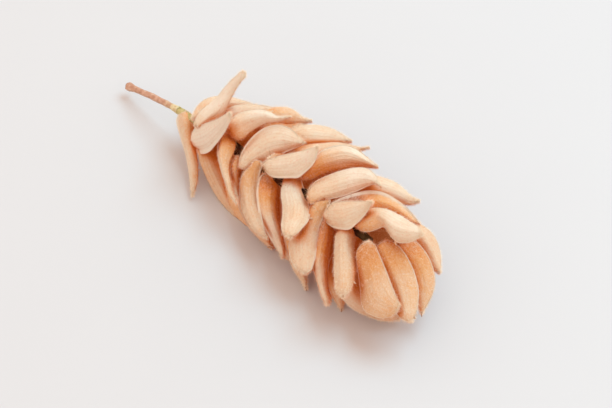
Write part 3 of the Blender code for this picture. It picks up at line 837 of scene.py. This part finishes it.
def faced_skin(bladder, face, seed):
    """The fine surface of a bladder that the camera sees, between the edges that it sees."""
    draw = random.Random(seed)
    t = FACE_START + (FACE_END - FACE_START) * (1 - np.cos(np.linspace(0, math.pi, RINGS))) / 2
    axis = np.subtract(face.tip, face.root)
    sideways = np.array((axis[1], -axis[0])) / np.linalg.norm(axis)
    left = smooth_line((face.root, *face.left, face.tip), t, sideways, -sideways if face.blunt else None)
    right = smooth_line((face.root, *face.right, face.tip), t, -sideways, sideways if face.blunt else None)
    depth = face_depth(bladder, face)
    left, right = in_space(left, depth(left)), in_space(right, depth(right))
    centre, half = (left + right) / 2, (left - right) / 2
    heading = unit(np.gradient(centre, axis=0))
    towards = unit(np.cross(half, heading))
    towards *= -np.sign(towards @ AWAY)[:, None]
    reach = np.linalg.norm(half, axis=1)
    body = np.clip(reach / reach.max(), 0, 1) ** END_POWER
    angles = np.arange(SIDES) * 2 * math.pi / SIDES
    u, front = np.cos(angles), np.sin(angles) >= 0
    inside, curl = swelling(u, face)
    edge = np.clip(RIM_SHARPNESS * curl, 0, 1) * front
    swelled = face.front * inside + RIM_THICKNESS
    behind = -face.back * inside - RIM_THICKNESS * (np.abs(u) < 1)
    height = body[:, None] * (np.where(front, swelled, behind) + RIM_CURL * curl)
    grid = centre[:, None] + half[:, None] * u[:, None] + towards[:, None] * height[..., None]
    normals = grid_normals(grid)
    across = np.broadcast_to(np.arccos(np.clip(u, -1, 1)) / math.pi, height.shape)
    relief = relief_of(grid, across, draw, seed) * (body[:, None] * (1 - edge) * (1 - u * u) ** 0.5)
    grid = grid + normals * relief[..., None]
    grid[..., 2] = np.maximum(grid[..., 2], SKIN_CLEARANCE)
    along = np.broadcast_to(t[:, None], height.shape)
    rim = np.broadcast_to(edge, height.shape)
    bladder = bladder._replace(tone=face.tone, side=face.side, foot=face.foot, dim=face.dim)
    return Skin(grid, grid_normals(grid), heading, along, across, rim, bladder, True)


SKIN_NUMBERS = ("along", "across", "rim", "shade")
BLADDER_NUMBERS = ("tone", "side", "foot", "dim")
# Makes a clock angle and a station one number, which differs between bladders and so varies their noise.
CLOCK_DIVISOR = 7


def bladder_piece(name, skins):
    """One piece of several bladders, with the numbers that its material needs at each point."""
    points, faces, sharp = [], [], []
    numbers = {key: [] for key in (*SKIN_NUMBERS, *BLADDER_NUMBERS, "number")}
    edge = np.tile(np.arange(SIDES) % (SIDES // 2) == 0, RINGS)
    for count, skin in enumerate(skins):
        faces += tube_faces(RINGS, SIDES, first=count * RINGS * SIDES)
        points.append(skin.grid.reshape(-1, 3))
        sharp.append(edge & skin.edged)
        of_skin, of_bladder = skin._asdict(), skin.bladder._asdict()
        for key in SKIN_NUMBERS:
            numbers[key].append(of_skin[key].ravel())
        for key in BLADDER_NUMBERS:
            numbers[key].append(np.full(RINGS * SIDES, of_bladder[key]))
        number = skin.bladder.station + skin.bladder.clock / CLOCK_DIVISOR
        numbers["number"].append(np.full(RINGS * SIDES, number))
    numbers = {key: np.concatenate(values) for key, values in numbers.items()}
    return new_mesh(name, np.vstack(points), faces, numbers, np.concatenate(sharp))


BEAK_RADIUS = 0.2
BEAK_TAPER = 0.75
BEAK_BOW = 0.1
BEAK_RINGS, BEAK_SIDES = 7, 8


def beak_piece(beaks, owners):
    """The small beaks. owners holds the bladder and the face under each name."""
    points, faces, brown = [], [], []
    for count, beak in enumerate(beaks):
        depth = face_depth(*owners[beak.owner])(np.array((beak.start,)))
        ends = in_space(np.array((beak.start, beak.end)), np.repeat(depth, 2))
        heading = unit(ends[1] - ends[0])
        for share in np.linspace(0, 1, BEAK_RINGS):
            middle = ends[0] + (ends[1] - ends[0]) * share - AWAY * BEAK_BOW * math.sin(math.pi * share)
            radius = BEAK_RADIUS * (1 - BEAK_TAPER * share ** 2)
            points.append(ring_of(middle, heading, np.full(BEAK_SIDES, radius)))
        first = count * BEAK_RINGS * BEAK_SIDES
        faces += flipped(tube_faces(BEAK_RINGS, BEAK_SIDES, first))
        brown.append(np.full(BEAK_RINGS * BEAK_SIDES, beak.brown))
    points = np.vstack(points)
    points[:, 2] = np.maximum(points[:, 2], SKIN_CLEARANCE)
    return new_mesh("beaks", points, faces, {"brown": np.concatenate(brown)})


# How shut in each place is, for painted shade: the material turns the walls a deeper orange and then
# dark there, where they block the light and light each other

SHADE_REACH = 7.0
# The floor shuts a place in this much where it fills the view.
FLOOR_SHADE = 0.45
SHADE_RAYS = 32
# The rays start this far off the skin. Under 1, their spread leaves none of them without a direction.
RAY_START = 0.3
RAY_SPREAD = 0.98
# Every second ring and side has its own rays, and the others lie between them.
SHADE_STEP = 2
SHADE_SEED = 3


def tree_of(skins):
    """A search tree of all the bladders' faces."""
    points, faces = [], []
    for count, skin in enumerate(skins):
        points += skin.grid.reshape(-1, 3).tolist()
        faces += tube_faces(RINGS, SIDES, first=count * RINGS * SIDES)
    return BVHTree.FromPolygons(points, faces)


def shut_in(skin, tree, ways):
    """How much of the view from each point is blocked nearby, between 0 and 1."""
    spots = skin.grid[::SHADE_STEP, ::SHADE_STEP]
    outward = skin.normals[::SHADE_STEP, ::SHADE_STEP]
    blocked = np.zeros(spots.shape[:2])
    for ring, side in np.ndindex(blocked.shape):
        normal = outward[ring, side]
        start = Vector(spots[ring, side] + normal * RAY_START)
        for ray in (ways + normal).tolist():
            if tree.ray_cast(start, ray, SHADE_REACH)[0] is not None:
                blocked[ring, side] += 1
            elif ray[2] < 0:
                blocked[ring, side] += FLOOR_SHADE
    blocked /= len(ways)
    blocked = (np.roll(blocked, 1, axis=1) + 2 * blocked + np.roll(blocked, -1, axis=1)) / 4
    blocked[1:-1] = (blocked[:-2] + 2 * blocked[1:-1] + blocked[2:]) / 4
    between = (blocked + np.roll(blocked, -1, axis=1)) / 2
    rings = np.stack((blocked, between), axis=2).reshape(len(blocked), SIDES)
    halfway = (rings + np.vstack((rings[1:], rings[-1:]))) / 2
    return np.stack((rings, halfway), axis=1).reshape(RINGS, SIDES)


def shaded(skins):
    """The skins, each with how shut in it is."""
    draw = np.random.default_rng(SHADE_SEED)
    ways = unit(draw.normal(0, 1, (SHADE_RAYS, 3))) * RAY_SPREAD
    tree = tree_of(skins)
    return [skin._replace(shade=shut_in(skin, tree, ways)) for skin in skins]


# Down and bristles

DOWN_PER_BLADDER = 3000
DOWN_LENGTH = (0.2, 0.58)
DOWN_WIDTH = 0.032
DOWN_LEAN, DOWN_UNEVENNESS = 0.7, 0.45
BRISTLES_PER_ROOT = 60
BRISTLES_ON_RACHIS = 900
BRISTLE_LENGTH = (0.6, 1.6)
BRISTLE_WIDTH = 0.045
BRISTLE_TAPER = 0.85
BRISTLE_CURL = 0.55
BRISTLE_JOINTS = 4
# The rings of a bladder that its bristles stand on, how deep they start, and how they lean.
BRISTLE_RINGS = (4, 15)
BRISTLE_DEPTH = 0.1
BRISTLE_LEAN, BRISTLE_UNEVENNESS = (0.2, 1.2), 0.3
RACHIS_BRISTLE_LEAN, RACHIS_BRISTLE_UNEVENNESS = 0.3, 0.5
FIRST_BRISTLE, LAST_BRISTLE = 4.0, 36.0
DOWN_SEED, BRISTLE_SEED, RACHIS_SEED = 11, 23, 31


def down_piece(name, skins, seed):
    """Short down: each hair is one slim triangle, which leans towards the bladder's beak."""
    draw = np.random.default_rng(seed)
    corners, shades = [], []
    for skin in skins:
        ring = draw.integers(1, RINGS - 3, DOWN_PER_BLADDER)
        side = draw.integers(0, SIDES, DOWN_PER_BLADDER)
        mix = draw.random((DOWN_PER_BLADDER, 2, 1))
        a, b = skin.grid[ring, side], skin.grid[ring + 1, side]
        c = skin.grid[ring, (side + 1) % SIDES]
        base = a + (b - a) * mix[:, 0] + (c - a) * mix[:, 1]
        lean = skin.headings[ring] * DOWN_LEAN + draw.normal(0, DOWN_UNEVENNESS, (DOWN_PER_BLADDER, 3))
        way = unit(skin.normals[ring, side] + lean)
        length = draw.uniform(*DOWN_LENGTH, (DOWN_PER_BLADDER, 1))
        sideways = unit(np.cross(way, draw.normal(0, 1, (DOWN_PER_BLADDER, 3)))) * DOWN_WIDTH / 2
        hairs = np.stack((base - sideways, base + sideways, base + way * length), axis=1)
        clear = hairs[..., 2].min(axis=1) > SKIN_CLEARANCE
        corners.append(hairs[clear])
        shades.append(np.repeat(skin.shade[ring, side][clear], 3))
    corners = np.concatenate(corners)
    faces = np.arange(len(corners) * 3).reshape(-1, 3).tolist()
    return new_mesh(name, corners.reshape(-1, 3), faces, {"shade": np.concatenate(shades)})


def bristle_strips(bases, ways, draw):
    """Curved bristles as slim tapered ribbons. Returns their points and how far along each point is."""
    count = len(bases)
    length = draw.uniform(*BRISTLE_LENGTH, (count, 1))
    curl = unit(draw.normal(0, 1, (count, 3))) * BRISTLE_CURL
    sideways = unit(np.cross(ways, draw.normal(0, 1, (count, 3))))
    rows, shares = [], []
    for joint in range(BRISTLE_JOINTS):
        share = joint / (BRISTLE_JOINTS - 1)
        middle = bases + ways * length * share + curl * length * share * share
        half = sideways * BRISTLE_WIDTH / 2 * (1 - BRISTLE_TAPER * share)
        rows += [middle - half, middle + half]
        shares += [share, share]
    points = np.stack(rows, axis=1)
    return points, np.broadcast_to(np.array(shares), points.shape[:2])


def bristle_piece(name, skins, seed):
    """Bristles that spring from the rachis round each bladder's root, and between the roots."""
    draw = np.random.default_rng(seed)
    bases, ways = [], []
    for skin in skins:
        if not FIRST_BRISTLE < skin.bladder.station < LAST_BRISTLE:
            continue
        ring = draw.integers(*BRISTLE_RINGS, BRISTLES_PER_ROOT)
        side = draw.integers(0, SIDES, BRISTLES_PER_ROOT)
        bases.append(skin.grid[ring, side] - skin.normals[ring, side] * BRISTLE_DEPTH)
        lean = skin.headings[ring] * draw.uniform(*BRISTLE_LEAN, (BRISTLES_PER_ROOT, 1))
        uneven = draw.normal(0, BRISTLE_UNEVENNESS, (BRISTLES_PER_ROOT, 3))
        ways.append(unit(skin.normals[ring, side] + lean + uneven))
    station = draw.uniform(FIRST_BRISTLE, LAST_BRISTLE, BRISTLES_ON_RACHIS)
    clock = draw.uniform(-180, 180, BRISTLES_ON_RACHIS)
    outward = np.array([radial(angle) for angle in clock])
    foot = np.array([rachis_point(s) for s in station])
    bases.append(foot + outward * RACHIS_SLIMNESS)
    lean = draw.normal(RACHIS_BRISTLE_LEAN, RACHIS_BRISTLE_UNEVENNESS, (BRISTLES_ON_RACHIS, 1))
    ways.append(unit(outward + rachis_direction() * lean))
    points, shares = bristle_strips(np.vstack(bases), np.vstack(ways), draw)
    points[..., 2] = np.maximum(points[..., 2], BRISTLE_CLEARANCE)
    faces = []
    each = BRISTLE_JOINTS * 2
    for bristle in range(len(points)):
        for joint in range(BRISTLE_JOINTS - 1):
            first = bristle * each + joint * 2
            faces.append((first, first + 1, first + 3, first + 2))
    return new_mesh(name, points.reshape(-1, 3), faces, {"along": shares.ravel()})


# Rachis and stalk

def stalk_point(distance):
    """The stalk's middle line, which droops more steeply towards its cut end."""
    foot = rachis_point(0.0)
    fall = foot[2] - STALK_END_RADIUS - STALK_CLEARANCE - STALK_SLOPE * STALK_LENGTH
    share = distance / STALK_LENGTH
    return np.array((foot[0] - distance, 0.0, foot[2] - STALK_SLOPE * distance - fall * share * share))


def ring_of(centre, heading, radii):
    """A ring of points square to heading, with a radius for each side."""
    across = np.array((0.0, 1.0, 0.0))
    upward = unit(np.cross(across, heading))
    angles = np.arange(len(radii)) * 2 * math.pi / len(radii)
    return centre + (np.outer(np.cos(angles), across) + np.outer(np.sin(angles), upward)) * radii[:, None]


RACHIS_RINGS, RACHIS_SIDES = 150, 28
RACHIS_RELIEFS = ((0.14, 1.6), (0.06, 0.5))


def rachis_piece():
    """The rachis and its neck, ridged and knobbly where bladders grow from it."""
    stations = np.linspace(-NECK_LENGTH, RACHIS_LENGTH, RACHIS_RINGS)
    rings = []
    for station in stations:
        centre = rachis_point(station) if station > 0 else stalk_point(-station)
        share = max(station, 0.0) / RACHIS_LENGTH
        radius = smooth_profile(CORE_RADII, np.array([share]))[0] * RACHIS_SLIMNESS
        if station < 0:
            radius = NECK_RADIUS + (radius - NECK_RADIUS) * (1 + station / NECK_LENGTH) ** 2
        rings.append(ring_of(centre, rachis_direction(), np.full(RACHIS_SIDES, radius)))
    grid = np.array(rings)
    grid = grid - grid_normals(grid) * two_lumps(grid, RACHIS_RELIEFS, RACHIS_SEED)[..., None]
    faces = flipped(tube_faces(RACHIS_RINGS, RACHIS_SIDES))
    return new_mesh("rachis", grid.reshape(-1, 3), faces, {"along": np.repeat(stations, RACHIS_SIDES)})


STALK_RINGS, STALK_SIDES = 120, 28
STALK_RELIEFS = ((0.07, 0.9), (0.035, 0.3))
# Its ridges: how high each set is, how many there are, and how far they turn on their way along it.
STALK_RIDGES = ((0.05, 5, 3), (0.03, 9, -5))
STALK_SEED = 41


def stalk_radius(share):
    joint = (STALK_JOINT_RADIUS - STALK_RADIUS) * math.exp(-((share / STALK_SWELLING) ** 2))
    end = (STALK_END_RADIUS - STALK_RADIUS) * math.exp(-(((1 - share) / STALK_SWELLING) ** 2))
    return STALK_RADIUS + joint + end


def stalk_piece():
    """The stalk, wrinkled lengthwise as it dried, with a ragged scar on its cut end."""
    start = NECK_LENGTH + STALK_GAP / 3
    shares = np.linspace(0, 1, STALK_RINGS)
    rings = []
    for share in shares:
        distance = start + share * (STALK_LENGTH - start)
        heading = unit(stalk_point(distance - STALK_RADIUS) - stalk_point(distance + STALK_RADIUS))
        angles = np.arange(STALK_SIDES) * 2 * math.pi / STALK_SIDES
        ridges = 1
        for height, count, turn in STALK_RIDGES:
            ridges = ridges + height * np.cos(count * angles + turn * share)
        rings.append(ring_of(stalk_point(distance), heading, stalk_radius(share) * ridges))
    grid = np.array(rings)
    grid = grid + grid_normals(grid) * two_lumps(grid, STALK_RELIEFS, STALK_SEED)[..., None]
    grid[..., 2] = np.maximum(grid[..., 2], SKIN_CLEARANCE)
    faces = tube_faces(STALK_RINGS, STALK_SIDES)
    return new_mesh("stalk_bark", grid.reshape(-1, 3), faces, {"along": np.repeat(shares, STALK_SIDES)})


# Materials

class Value:
    """A socket that gives a number. Python's operators on it add Math nodes."""

    def __init__(self, shader, socket):
        self.shader = shader
        self.socket = socket

    def sum_of(self, operation, *values):
        made = self.shader.node("ShaderNodeMath", {"operation": operation}, dict(enumerate(values)))
        return made["Value"]

    def __add__(self, other):
        return self.sum_of("ADD", self, other)

    __radd__ = __add__

    def __sub__(self, other):
        return self.sum_of("SUBTRACT", self, other)

    def __rsub__(self, other):
        return self.sum_of("SUBTRACT", other, self)

    def __mul__(self, other):
        return self.sum_of("MULTIPLY", self, other)

    __rmul__ = __mul__

    def __pow__(self, other):
        return self.sum_of("POWER", self, other)

    def fraction(self):
        return self.sum_of("FRACT", self)

    def size(self):
        return self.sum_of("ABSOLUTE", self)

    def between(self, low, high):
        """0 up to low, 1 from high, and smooth in between."""
        sockets = {"Value": self, "From Min": low, "From Max": high}
        settings = {"interpolation_type": "SMOOTHSTEP"}
        return self.shader.node("ShaderNodeMapRange", settings, sockets)["Result"]


class Outputs:
    """A node's outputs by name."""

    def __init__(self, shader, node):
        self.shader = shader
        self.node = node

    def __getitem__(self, name):
        return Value(self.shader, self.node.outputs[name])


class Shader:
    """One material, and the method that adds its nodes."""

    def __init__(self, name):
        self.material = bpy.data.materials.new(name)
        self.material.use_nodes = True
        self.tree = self.material.node_tree
        self.skin = self.tree.nodes["Principled BSDF"]

    def set(self, node, sockets):
        for key, value in sockets.items():
            if isinstance(value, Value):
                self.tree.links.new(value.socket, node.inputs[key])
            else:
                node.inputs[key].default_value = value

    def node(self, kind, settings=None, sockets=None):
        """Adds a node, with its settings first and then the values or links of its sockets."""
        node = self.tree.nodes.new(kind)
        for key, value in (settings or {}).items():
            setattr(node, key, value)
        self.set(node, sockets or {})
        return Outputs(self, node)

    def attribute(self, name):
        return self.node("ShaderNodeAttribute", {"attribute_name": name})["Fac"]

    def place(self, scale):
        """The point on the object, in units of 1/scale millimetres."""
        raw = self.node("ShaderNodeTexCoord")["Object"]
        sockets = {0: raw, "Scale": scale / MM}
        return self.node("ShaderNodeVectorMath", {"operation": "SCALE"}, sockets)["Vector"]

    def vector(self, x, y, z):
        return self.node("ShaderNodeCombineXYZ", None, {"X": x, "Y": y, "Z": z})["Vector"]

    def noise(self, where, detail, roughness=0.5):
        sockets = {"Vector": where, "Scale": 1.0, "Detail": detail, "Roughness": roughness}
        return self.node("ShaderNodeTexNoise", None, sockets)["Fac"]

    def mix(self, share, first, second):
        """A colour between the first, at 0, and the second, at 1."""
        settings = {"data_type": "RGBA"}
        made = self.node("ShaderNodeMix", settings, {0: share, 6: first, 7: second})
        return Value(self, made.node.outputs[2])

    def thin(self, share, colour):
        """Lets this share of the light through the surface."""
        through = self.node("ShaderNodeBsdfTranslucent", None, {"Color": colour}).node
        both = self.node("ShaderNodeMixShader", None, {0: share}).node
        self.tree.links.new(self.skin.outputs[0], both.inputs[1])
        self.tree.links.new(through.outputs[0], both.inputs[2])
        self.tree.links.new(both.outputs[0], self.tree.nodes["Material Output"].inputs["Surface"])

    def bump(self, height, distance):
        sockets = {"Height": height, "Distance": distance * MM, "Strength": 1.0}
        return self.node("ShaderNodeBump", None, sockets)["Normal"]


CREAM = (0.91, 0.765, 0.565, 1.0)
PEACH = (0.87, 0.40, 0.11, 1.0)
AMBER = (0.78, 0.215, 0.022, 1.0)
PALE_RIM = (0.99, 0.91, 0.76, 1.0)
DEEP = (0.34, 0.05, 0.004, 1.0)
DULL = (0.20, 0.08, 0.03, 1.0)
BEAK_BROWN = (0.34, 0.15, 0.07, 1.0)
BEAK_PALE = (0.76, 0.48, 0.30, 1.0)
SHEEN = (1.0, 0.93, 0.84, 1.0)
# The light that comes through a thin wall, and the share of it.
GLOW = (0.92, 0.42, 0.14, 1.0)
THIN_WALL = 0.12
# Painted glow: an emission that stands in for the light that the thin walls let into the gaps between them.
GAP_GLOW = (0.12, 0.020, 0.0, 1.0)
NO_GLOW = (0.0, 0.0, 0.0, 1.0)
VEINS = 12

DOWN_COLOURS = (0.93, 0.76, 0.56, 1.0), (0.98, 0.88, 0.72, 1.0)
BRISTLE_COLOURS = (0.34, 0.12, 0.03, 1.0), (0.70, 0.38, 0.14, 1.0)
BRISTLE_ROOT = (0.12, 0.03, 0.01, 1.0)
# Nearly black: the rachis's dark brown, darkened further as painted shade of the deep gaps where it shows.
RACHIS_COLOURS = (0.012, 0.004, 0.001, 1.0), (0.06, 0.012, 0.002, 1.0)
RACHIS_GREENS = (0.30, 0.24, 0.06, 1.0), (0.55, 0.46, 0.20, 1.0)
BARK_COLOURS = (0.50, 0.25, 0.155, 1.0), (0.68, 0.42, 0.29, 1.0)
BARK_SPOTS = (0.74, 0.56, 0.43, 1.0)
BARK_STREAKS = (0.24, 0.10, 0.06, 1.0)
BARK_GREENS = (0.60, 0.44, 0.22, 1.0), (0.76, 0.66, 0.38, 1.0)
BARK_END = (0.20, 0.09, 0.05, 1.0)
FLOOR_COLOURS = (0.605, 0.613, 0.619, 1.0), (0.615, 0.623, 0.629, 1.0)


def papery():
    """The bladders' dry walls: veins, streaks, specks, pale rims that are partly painted rim light, painted
    shade that deepens the roots and gaps, a painted glow in the gaps, and brown beaks.
    """
    shader = Shader("papery bladder")
    along, across = shader.attribute("along"), shader.attribute("across")
    rim, tone, number = shader.attribute("rim"), shader.attribute("tone"), shader.attribute("number")
    shade, side = shader.attribute("shade"), shader.attribute("side")
    wander = shader.noise(shader.vector(along * 3.0, across * 2.0, number), 1.0)
    vein_place = (across + (wander - 0.5) * 0.07) * VEINS
    vein = (1 - (vein_place.fraction() * 2 - 1).size()) ** 3.0
    streaks = shader.noise(shader.vector(along * 5.0, across * 34.0, number), 3.0, 0.6)
    blotches = shader.noise(shader.place(0.35), 2.0)
    grain = shader.noise(shader.place(6.0), 3.0, 0.65)
    specks = shader.noise(shader.place(2.4), 4.0, 0.75)
    mottles = shader.noise(shader.place(1.3), 4.0, 0.65)
    # Painted shade: the colour deepens towards the root, and towards one edge by side; foot adds more at the
    # root, or pales it where it is negative.
    root = 1 - along.between(0.0, 0.7)
    warmth = tone * (0.7 + root * 0.9) + root * shader.attribute("foot") + side * (across - 0.5) * 0.9
    warmth = warmth + (blotches - 0.5) * 0.7 + (streaks - 0.5) * 0.5 + (mottles - 0.5) * 0.65
    colour = shader.mix(warmth.between(-0.1, 1.15), CREAM, PEACH)
    colour = shader.mix((0 - warmth).between(-0.1, 0.4) * 0.8, colour, PALE_RIM)
    colour = shader.mix((warmth - 0.8).between(0.0, 1.0) * 0.8, colour, AMBER)
    colour = shader.mix((warmth - 1.5).between(0.0, 0.8) * 0.9, colour, DEEP)
    colour = shader.mix((specks - 0.5).between(0.02, 0.2) * 0.36, colour, AMBER)
    colour = shader.mix(vein * 0.13, colour, AMBER)
    colour = shader.mix((grain - 0.5).between(-0.1, 0.2) * 0.36, colour, PALE_RIM)
    # Painted shade: shut-in places turn amber and then dark.
    colour = shader.mix(shade.between(0.16, 0.66) * 0.95, colour, AMBER)
    colour = shader.mix(shade.between(0.46, 0.82) * 0.92, colour, DEEP)
    # Pale rims: partly the thin edge's own paler colour, partly painted rim light.
    colour = shader.mix(rim * 0.8, colour, PALE_RIM)
    # Painted shade: dim dulls bladders that lie in shadow.
    colour = shader.mix(shader.attribute("dim"), colour, DULL)
    colour = shader.mix(along.between(0.95, 1.0) * 0.35, colour, AMBER)
    colour = shader.mix(along.between(1.0, 1.06) * 0.9, colour, BEAK_BROWN)
    height = vein * 0.2 + streaks * 0.4 + grain * 0.9
    # Painted glow: shut-in places give off a faint orange light.
    glow = shader.mix(shade.between(0.38, 0.8), NO_GLOW, GAP_GLOW)
    shader.set(shader.skin, {
        "Base Color": colour,
        "Emission Color": glow,
        "Emission Strength": 1.0,
        "Roughness": 0.62 + grain * 0.3,
        "Normal": shader.bump(height, 0.17),
        "Specular IOR Level": 0.22,
        "Sheen Weight": 0.1,
        "Sheen Roughness": 0.45,
        "Sheen Tint": SHEEN,
    })
    shader.thin(THIN_WALL, GLOW)
    return shader.material


def beaky():
    """The beaks: brown, or as pale as the rims."""
    shader = Shader("beaks")
    colour = shader.mix(shader.attribute("brown"), BEAK_PALE, BEAK_BROWN)
    shader.set(shader.skin, {"Base Color": colour, "Roughness": 0.6})
    return shader.material


def downy():
    """The down on the bladders: pale and faintly shiny, with painted shade that turns it amber where it is
    shut in.
    """
    shader = Shader("down")
    lightness = shader.noise(shader.place(0.8), 2.0)
    shade = shader.attribute("shade")
    colour = shader.mix(lightness, *DOWN_COLOURS)
    shader.set(shader.skin, {
        "Base Color": shader.mix(shade.between(0.2, 0.9), colour, AMBER),
        "Roughness": 0.6,
        "Sheen Weight": 0.3,
    })
    return shader.material


def bristly():
    """Golden brown bristles, darker at their roots."""
    shader = Shader("bristles")
    along = shader.attribute("along")
    patches = shader.noise(shader.place(1.3), 2.0)
    colour = shader.mix(patches.between(0.3, 0.7), *BRISTLE_COLOURS)
    colour = shader.mix((1 - along.between(0.0, 0.5)) * 0.5, colour, BRISTLE_ROOT)
    shader.set(shader.skin, {"Base Color": colour, "Roughness": 0.5})
    return shader.material


def rachis_skin():
    """The rachis: dark brown, darkened to nearly black as painted shade of the deep gaps where it shows,
    with green left at its two ends.
    """
    shader = Shader("rachis")
    along = shader.attribute("along")
    patches = shader.noise(shader.place(0.9), 3.0)
    grain = shader.noise(shader.place(5.0), 3.0, 0.6)
    brown = shader.mix(patches.between(0.35, 0.65), *RACHIS_COLOURS)
    green = shader.mix(patches.between(0.35, 0.6), *RACHIS_GREENS)
    ends = (1 - along.between(0.5, 3.5)) + along.between(37.5, 39.5) * 0.1
    shader.set(shader.skin, {
        "Base Color": shader.mix(ends, brown, green),
        "Roughness": 0.6 + grain * 0.3,
        "Normal": shader.bump(grain, 0.12),
        "Specular IOR Level": 0.1,
    })
    return shader.material


def bark():
    """The stalk's bark: pinkish brown and finely streaked, yellow-green towards the cone."""
    shader = Shader("bark of the stalk")
    along = shader.attribute("along")
    patches = shader.noise(shader.place(1.1), 3.0)
    grain = shader.noise(shader.place(7.0), 3.0, 0.65)
    spots = shader.noise(shader.place(2.6), 1.0)
    colour = shader.mix(patches.between(0.3, 0.7), *BARK_COLOURS)
    colour = shader.mix(spots.between(0.62, 0.72) * 0.6, colour, BARK_SPOTS)
    colour = shader.mix(grain.between(0.5, 0.75) * 0.45, colour, BARK_STREAKS)
    green = shader.mix(patches.between(0.4, 0.6), *BARK_GREENS)
    colour = shader.mix((1 - along.between(0.02, 0.3)) * patches.between(0.3, 0.55), colour, green)
    colour = shader.mix(along.between(0.985, 1.0) * 0.6, colour, BARK_END)
    shader.set(shader.skin, {
        "Base Color": colour,
        "Roughness": 0.55 + grain * 0.35,
        "Normal": shader.bump(grain + spots * 0.6, 0.1),
        "Specular IOR Level": 0.3,
    })
    return shader.material


def floor_paper():
    """The pale surface that the fruit lies on."""
    shader = Shader("pale surface")
    grain = shader.noise(shader.place(0.05), 2.0)
    shader.set(shader.skin, {
        "Base Color": shader.mix(grain, *FLOOR_COLOURS),
        "Roughness": 0.9,
        "Specular IOR Level": 0.1,
    })
    return shader.material


# The whole fruit

def dress(piece, material, node):
    """Gives the piece its finish, hangs it on the root body, and hides the solid that it stands for."""
    piece.data.materials.append(material)
    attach(piece, "root")
    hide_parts(node)


def fruit():
    groups = {
        "top": TOP_BLADDERS,
        "near": NEAR_BLADDERS,
        "low": LOW_BLADDERS,
        "end": END_BLADDERS,
        "far": FAR_BLADDERS,
        "far_low": FAR_LOW_BLADDERS,
        "under": tuple(under_bladders()),
    }
    paper = papery()
    every, owners, faced = [], [], {}
    for name, group in groups.items():
        for place, bladder in enumerate(group):
            key, seed = name + str(place), len(every) + 1
            bladder = rested(bladder)
            if key in FACES:
                faced[key] = bladder, FACES[key]
                every.append(faced_skin(bladder, FACES[key], seed))
            else:
                every.append(bladder_skin(bladder, seed, SUNK.get(key, 0.0)))
            owners.append(name)
    every = shaded(every)
    for name in groups:
        skins = [skin for skin, owner in zip(every, owners) if owner == name]
        dress(bladder_piece("bladders_" + name, skins), paper, "bladders")
    dress(down_piece("down", every, DOWN_SEED), downy(), "bladders")
    dress(beak_piece(BEAKS, faced), beaky(), "bladders")
    dress(bristle_piece("bristles", every, BRISTLE_SEED), bristly(), "bladders")
    dress(rachis_piece(), rachis_skin(), "bladders")
    dress(stalk_piece(), bark(), "stalk")


# The studio

# Sizes and distances here are in metres.
FLOOR_SIZE = 6.0
KEY_SIZE, KEY_DISTANCE = 0.40, 0.6
KEY_POWER = 2.34
KEY_COLOUR = (0.45, 0.82, 1.0)
KEY_FROM = (0.52, 0.18, 1.0)
AMBIENT = (1.0, 0.80, 0.70, 1.0)
AMBIENT_STRENGTH = 1.18
NEAREST_SEEN = 0.01


def aim(obj, place, target):
    obj.location = place
    obj.rotation_euler = (place - target).to_track_quat("Z", "Y").to_euler()
    bpy.context.scene.collection.objects.link(obj)


def camera():
    obj = bpy.data.objects.new("camera", bpy.data.cameras.new("camera"))
    obj.data.lens = CAMERA_LENS
    obj.data.sensor_width = SENSOR_WIDTH
    obj.data.clip_start = NEAREST_SEEN
    aim(obj, Vector(EYE) * MM, Vector(CAMERA_TARGET) * MM)
    bpy.context.scene.camera = obj


def lamps():
    right, level = Vector(RIGHT), Vector(UP).cross(Vector(RIGHT))
    lamp = bpy.data.lights.new("window", "AREA")
    lamp.shape = "DISK"
    lamp.size = KEY_SIZE
    lamp.energy = KEY_POWER
    lamp.color = KEY_COLOUR
    way = right * KEY_FROM[0] + level * KEY_FROM[1] + Vector(UP) * KEY_FROM[2]
    aim(bpy.data.objects.new("window", lamp), way.normalized() * KEY_DISTANCE, Vector((0, 0, 0)))
    world = bpy.context.scene.world or bpy.data.worlds.new("room")
    bpy.context.scene.world = world
    world.use_nodes = True
    room = world.node_tree.nodes["Background"]
    room.inputs["Color"].default_value = AMBIENT
    room.inputs["Strength"].default_value = AMBIENT_STRENGTH


def floor():
    half = FLOOR_SIZE / 2
    data = bpy.data.meshes.new("floor")
    corners = [(-half, -half, 0), (half, -half, 0), (half, half, 0), (-half, half, 0)]
    data.from_pydata(corners, [], [(0, 1, 2, 3)])
    obj = bpy.data.objects.new("floor", data)
    data.materials.append(floor_paper())
    bpy.context.scene.collection.objects.link(obj)


fruit()
camera()
lamps()
floor()
bpy.context.scene.view_settings.view_transform = "Standard"
